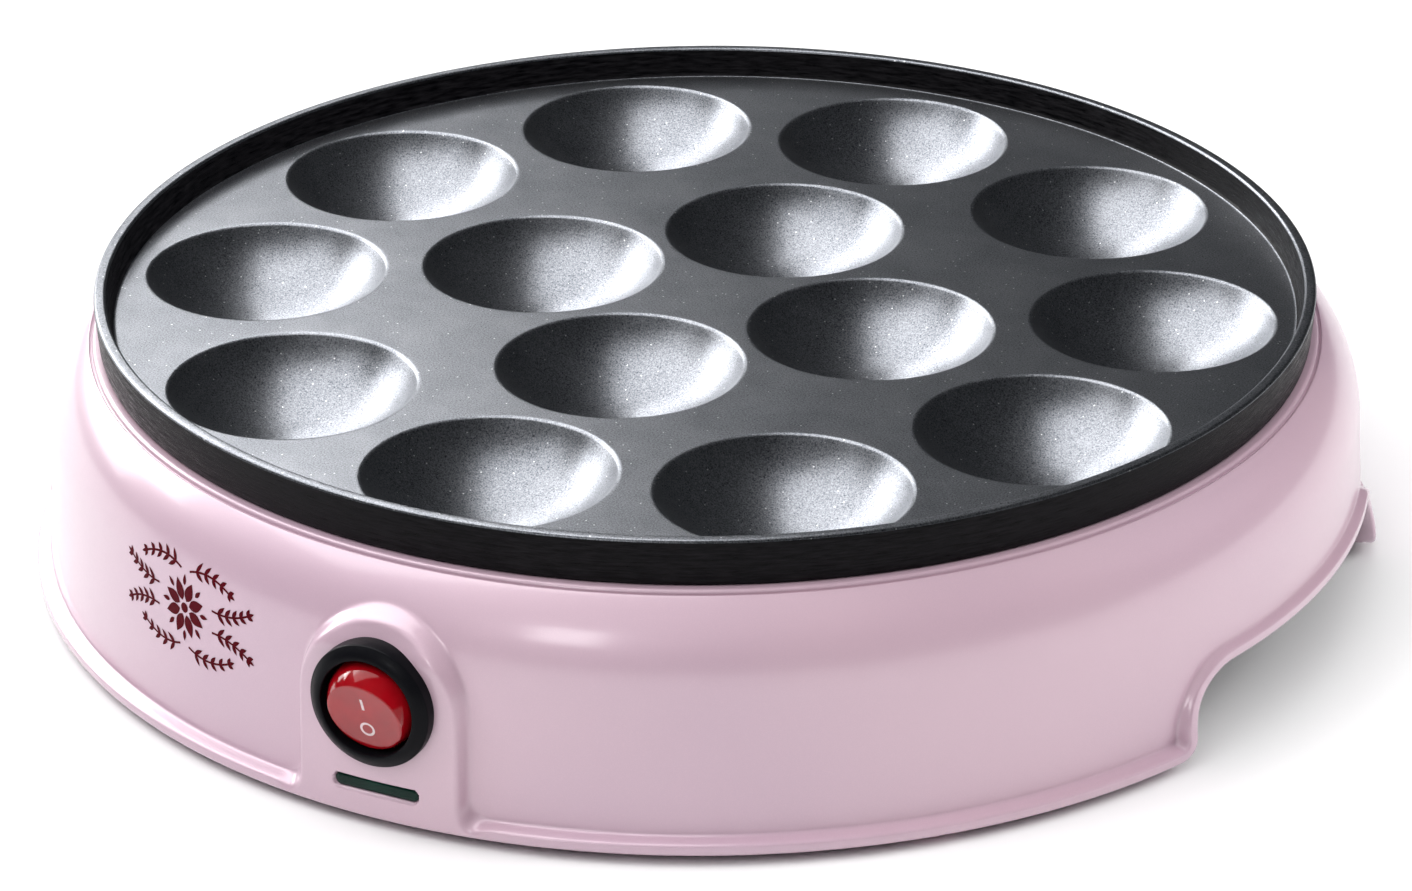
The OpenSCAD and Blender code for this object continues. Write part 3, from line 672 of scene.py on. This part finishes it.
# the rows next to the flat and over the rim's top, which are coated like the flat; the other rows take the
# same coating darkened as painted shade
ROWS_LIKE_FLAT = {*range(0, 3), *range(7, 18)}
rim = piece("plate_rim", *revolved(rim_profile, RIM_STEPS, closed=False), COATING, "plate_coating",
            stands_for=["baking_plate"], crease=35)
rim.data.materials.append(RIM_PAINTED_SHADE_COATING)
for index, polygon in enumerate(rim.data.polygons):
    polygon.material_index = int(index // RIM_STEPS not in ROWS_LIKE_FLAT)


# ---------------------------------------------------------------- switch
# The switch's own frame has z out of the pad. The rocker's turns about its pins.
AT_SWITCH = Matrix.Translation((0, -FLANGE_R, SWITCH_Z)) @ Matrix.Rotation(math.pi / 2, 4, "X")
AT_ROCKER = AT_SWITCH @ Matrix.Translation((0, 0, PIVOT)) @ Matrix.Rotation(ROCKER_TILT, 4, "X")
ON_AXIS = 0.01                                 # radius at which an outline reaches the axis

# the bezel's outline goes up its bore, over its domed face, round its edge and back along the barrel
bezel_profile = [(BORE_R, BARREL_END + 2.5), (BORE_R, BEZEL_T - 0.3)]
bezel_profile += arc((BORE_R + 0.3, BEZEL_T - 0.3), 0.3, 180, 90, 5)
bezel_profile += [(BORE_R + 0.3 + 2.05 * t, BEZEL_T - 1.1 * t ** 1.7) for t in np.linspace(0, 1, 11)[1:]]
bezel_profile += arc((BEZEL_R - 0.5, BEZEL_T - 1.5), 0.5, 55, 0, 4)
bezel_profile += [(BEZEL_R, -2.8), (BARREL_R, -2.85), (BARREL_R, BARREL_END), (ON_AXIS, BARREL_END),
                  (ON_AXIS, BARREL_END + 2.5)]
piece("switch_bezel", *revolved(bezel_profile, SWITCH_STEPS), DARK, "dark_plastic",
      stands_for=["switch_body"], place=AT_SWITCH, crease=50)

FACE_R = math.sqrt(ROCKER_R ** 2 - ROCKER_FACE ** 2)
FACE_EDGE = math.atan2(FACE_R, ROCKER_FACE)    # angle from the rocker's axis to the edge of its face
BALL_END = 1.806                               # and to where its ball goes over into the stem
# the rocker's outline goes from the middle of its dished face, over the ball, to the end of its stem
rocker_face = [(ON_AXIS, ROCKER_FACE - 0.42), (FACE_R * 0.35, ROCKER_FACE - 0.36),
               (FACE_R * 0.7, ROCKER_FACE - 0.19), (FACE_R - 0.55, ROCKER_FACE - 0.05),
               (FACE_R - 0.3, ROCKER_FACE - 0.02)]
ball_angles = [FACE_EDGE + 0.02, *np.linspace(FACE_EDGE + 0.05, BALL_END, 22)]
rocker_profile = [*rocker_face, (FACE_R - 0.12, ROCKER_FACE - 0.04)]
rocker_profile += [(ROCKER_R * math.sin(t), ROCKER_R * math.cos(t)) for t in ball_angles]
rocker_profile += [(2.2, -2.0), (1.9, -2.2), (1.9, -6.9), (ON_AXIS, -7.0)]
piece("rocker_button", *revolved(rocker_profile, SWITCH_STEPS), RED, "rocker_red", "rocker", ["rocker"],
      AT_ROCKER, crease=28)


def ribbon(path, width, closed=False):
    """A flat strip of one width along a path in the x-y plane."""
    path = [Vector(p) for p in path]
    count = len(path)
    points = []
    for i, p in enumerate(path):
        before = path[(i - 1) % count] if closed or i else p
        after = path[(i + 1) % count] if closed or i < count - 1 else p
        side = (after - before).normalized().orthogonal() * (width / 2)
        points += [(*(p + side), 0), (*(p - side), 0)]
    return points, [(2 * i, 2 * i + 1, 2 * ((i + 1) % count) + 1, 2 * ((i + 1) % count))
                    for i in range(count if closed else count - 1)]


def face_height(r):
    """Height of the dished rocker face at radius r from its middle."""
    radii, heights = zip(*rocker_face)
    return float(np.interp(r, radii, heights))


MARK_PROUD = 0.03
stroke = ribbon([(0, 1.5 + 2.6 * i / 8) for i in range(9)], 0.5)
ring = ribbon(circle((0, -2.85), 1.2, 40), 0.45, closed=True)
mark_points, mark_faces = joined([stroke, ring])
mark_points = [(x, y, face_height(math.hypot(x, y)) + MARK_PROUD) for x, y, _ in mark_points]
piece("rocker_marks", mark_points, mark_faces, MARK_WHITE, "rocker_red", "rocker", ["rocker"], AT_ROCKER)


# ---------------------------------------------------------------- indicator
def slot_outline(width, height, steps=12):
    half = (width - height) / 2
    return arc((half, 0), height / 2, -90, 90, steps) + arc((-half, 0), height / 2, 90, 270, steps)


def on_pad(points, offset):
    """Points drawn flat as (across, up, out) laid on the pad's round face at the indicator."""
    out = []
    for x, y, z in points:
        a = x / FLANGE_R
        r = FLANGE_R + offset + z
        out.append((r * math.sin(a), -r * math.cos(a), LENS_Z + y))
    return out


# the lens, from its back to its crowned front, as (inset from the slot, height)
lens_rows = [(0.16, -3.0), (0.16, -1.05), (0.3, -0.78), (0.55, -0.66), (0.95, -0.62)]
lens_points = []
for inset, out in lens_rows:
    outline = slot_outline(LENS_W - 2 * inset, LENS_H - 2 * inset)
    lens_points += [(x, y, out) for x, y in outline]
lens_faces = grid_faces(len(lens_rows), len(outline), wrap_cols=True)
lens_faces.append(tuple(range(len(lens_points) - len(outline), len(lens_points))))
piece("indicator_window", on_pad(lens_points, 0.2), lens_faces, GREEN, "lens_green",
      stands_for=["indicator_lens"], crease=35)


# ---------------------------------------------------------------- generic printed ornament
ORNAMENT_AZIMUTH = -21.3                       # degrees
ORNAMENT_Z = 27.0
ORNAMENT_WALL_R = 123.5                        # bend of the wall across the ornament
PRINT_PROUD = 0.05


def on_housing(points):
    """Flat (across, up) points laid on the housing's wall round the ornament's place."""
    laid = []
    for x, y, *_ in points:
        a = math.radians(ORNAMENT_AZIMUTH) + x / ORNAMENT_WALL_R
        r = float(housing_radius(np.array([a]), np.array([ORNAMENT_Z + y]))[0]) + PRINT_PROUD
        laid.append((r * math.sin(a), -r * math.cos(a), ORNAMENT_Z + y))
    return laid


def leaf(x, y, angle, length, width, steps=9):
    """Outline of a pointed leaf that starts at (x, y)."""
    side = [(length * t, width / 2 * math.sin(math.pi * t ** 0.8)) for t in np.linspace(0, 1, steps)]
    outline = side + [(u, -v) for u, v in side[-2:0:-1]]
    c, s = math.cos(angle), math.sin(angle)
    return [(x + u * c - v * s, y + u * s + v * c, 0) for u, v in outline]


def filled(outlines):
    """Flat outlines as (points, faces) parts of one face each."""
    return [(outline, [tuple(range(len(outline)))]) for outline in outlines]


def sprig(start, bend, end, leaves, leaf_length, flip_x, flip_y):
    """A curved stem with pairs of leaves, drawn in the first quadrant and mirrored to its own."""
    def at(t):
        return [(1 - t) ** 2 * a + 2 * t * (1 - t) * b + t * t * c for a, b, c in zip(start, bend, end)]

    outlines = []
    for t in np.linspace(0.16, 0.98, leaves):
        (x, y), (ahead_x, ahead_y) = at(t), at(t + 0.01)
        lean = math.atan2(ahead_y - y, ahead_x - x)
        for turn in (0.75, -0.75):
            outlines.append(leaf(x, y, lean + turn, leaf_length * (1.15 - 0.5 * t), leaf_length * 0.36))
    tip, (near_x, near_y) = at(1), at(0.97)
    lean = math.atan2(tip[1] - near_y, tip[0] - near_x)
    outlines.append(leaf(*tip, lean, leaf_length * 0.7, leaf_length * 0.28))
    stem = ribbon([at(t) for t in np.linspace(0, 1, 25)], 0.4)
    points, faces = joined(filled(outlines) + [stem])
    points = [(x * flip_x, y * flip_y, 0) for x, y, _ in points]
    return points, faces if flip_x * flip_y > 0 else [face[::-1] for face in faces]


def flower(petals, start, length, width, turn=0.0):
    """A ring of pointed petals round the middle."""
    outlines = []
    for i in range(petals):
        a = TAU * i / petals + turn
        outlines.append(leaf(start * math.cos(a), start * math.sin(a), a, length, width))
    return joined(filled(outlines))


def ornament():
    """A flower among leafy sprigs."""
    parts = [flower(8, 1.4, 4.2, 2.2, TAU / 16), flower(8, 4.3, 2.1, 0.9)]
    for flip_x in (-1, 1):
        for flip_y in (-1, 1):
            parts.append(sprig((7.6, 2.1), (12.4, 1.7), (16.8, 4.1), 5, 2.4, flip_x, flip_y))
            parts.append(sprig((1.2, 7.2), (6.5, 9.2), (12.0, 6.6), 5, 2.3, flip_x, flip_y))
    dot = [(x, y, 0) for x, y in circle((0, 0), 0.95, 20)]
    return joined(parts + filled([dot]))


print_points, print_faces = ornament()
piece("ornament_print", on_housing(print_points), print_faces, PRINT, "housing_pink")


# ---------------------------------------------------------------- floor, lights and camera
LOOK_AT = Vector((0, 0, PLATE_Z * MM))
CAMERA_AZIMUTH = math.radians(26.8)
CAMERA_RISE = math.radians(24.08)
CAMERA_DISTANCE = 0.9814
CAMERA_LENS = 134.0
CAMERA_SENSOR = 36
CAMERA_TURNS = (("Z", -0.43), ("X", -1.6415), ("Y", -0.011))   # roll, dip and pan off LOOK_AT, degrees
LAMPS_AIM = Vector((0, 0, 0.04))

# name, turn round the object from the camera's side, rise (both degrees), distance, size, power, seen in
AIMED_LAMPS = (
    ("fill_above", 0, 88, 1.8, (2.4, 2.4), 18, "diffuse"),
    ("fill_left", -90, 50, 1.4, (0.9, 0.9), 11, "diffuse"),
    ("fill_right", 90, 32, 1.4, (0.9, 0.9), 12.5, "diffuse"),
    ("fill_front", -24, 45, 1.4, (1.6, 0.8), 8.5, "diffuse"),
    ("fill_back", 180, 50, 2.2, (1.8, 1.0), 11, "diffuse"),
    ("left_glow", -133, 18, 1.3, (0.9, 0.5), 6.5, "gloss"),
    ("front_glint", -23, 26, 1.2, (0.22, 0.28), 1.5, "gloss"),
)
# name, left and right edge, near and far edge (both from the camera's side), height, power per square metre
LEVEL_PANELS = (
    ("left_panel", (-1.4, -0.75), (0.32, 1.8), 0.62, 24),
    ("near_panel", (-0.96, 0.02), (-0.30, 0.66), 0.9, 13),
    ("far_panel", (-0.70, -0.10), (0.5, 1.08), 0.62, 25),
)


def studio_floor():
    material, _, shader = new_material("studio_floor")
    shader.inputs["Base Color"].default_value = (0.94, 0.94, 0.94, 1)
    shader.inputs["Roughness"].default_value = 0.6
    mesh = bpy.data.meshes.new("studio_floor")
    half = 4.0
    mesh.from_pydata([(-half, -half, 0), (half, -half, 0), (half, half, 0), (-half, half, 0)], [],
                     [(0, 1, 2, 3)])
    mesh.materials.append(material)
    obj = bpy.data.objects.new("studio_floor", mesh)
    bpy.context.collection.objects.link(obj)


def heading(azimuth, rise):
    """Unit vector from the object towards an azimuth and a rise."""
    return Vector((math.sin(azimuth) * math.cos(rise), -math.cos(azimuth) * math.cos(rise), math.sin(rise)))


def studio_camera():
    data = bpy.data.cameras.new("studio_camera")
    data.lens = CAMERA_LENS
    data.sensor_width = CAMERA_SENSOR
    back = heading(CAMERA_AZIMUTH, CAMERA_RISE)
    right = Vector((math.cos(CAMERA_AZIMUTH), math.sin(CAMERA_AZIMUTH), 0))
    base = Matrix((right, back.cross(right), back)).transposed().to_4x4()
    turn = Matrix.Identity(4)
    for axis, angle in CAMERA_TURNS:
        turn = turn @ Matrix.Rotation(math.radians(angle), 4, axis)
    camera = bpy.data.objects.new("studio_camera", data)
    camera.matrix_world = Matrix.Translation(LOOK_AT + back * CAMERA_DISTANCE) @ base @ turn
    bpy.context.collection.objects.link(camera)
    bpy.context.scene.camera = camera


def studio_lamp(name, size, power, place, seen_in):
    """A rectangular lamp that gives only its "diffuse" or its "gloss" share of light."""
    data = bpy.data.lights.new(name, "AREA")
    data.shape = "RECTANGLE"
    data.size, data.size_y = size
    data.energy = power
    obj = bpy.data.objects.new(name, data)
    obj.matrix_world = Matrix.Rotation(CAMERA_AZIMUTH, 4, "Z") @ place
    obj.visible_glossy = seen_in == "gloss"
    obj.visible_diffuse = seen_in == "diffuse"
    bpy.context.collection.objects.link(obj)


def studio_lamps():
    for name, turn, rise, distance, size, power, seen_in in AIMED_LAMPS:
        towards = (Matrix.Rotation(math.radians(turn), 4, "Z")
                   @ Matrix.Rotation(math.radians(90 - rise), 4, "X"))
        place = Matrix.Translation(LAMPS_AIM) @ towards @ Matrix.Translation((0, 0, distance))
        studio_lamp(name, size, power, place, seen_in)
    for name, across, away, height, strength in LEVEL_PANELS:
        width, depth = across[1] - across[0], away[1] - away[0]
        place = Matrix.Translation((sum(across) / 2, sum(away) / 2, height))
        studio_lamp(name, (width, depth), strength * width * depth, place, "gloss")


def studio_world():
    world = bpy.data.worlds.new("studio_world")
    world.use_nodes = True
    background = world.node_tree.nodes["Background"]
    background.inputs["Color"].default_value = (0.62, 0.78, 0.95, 1)
    background.inputs["Strength"].default_value = 0.02
    bpy.context.scene.world = world


studio_floor()
studio_camera()
studio_world()
studio_lamps()
bpy.context.scene.view_settings.view_transform = "Standard"
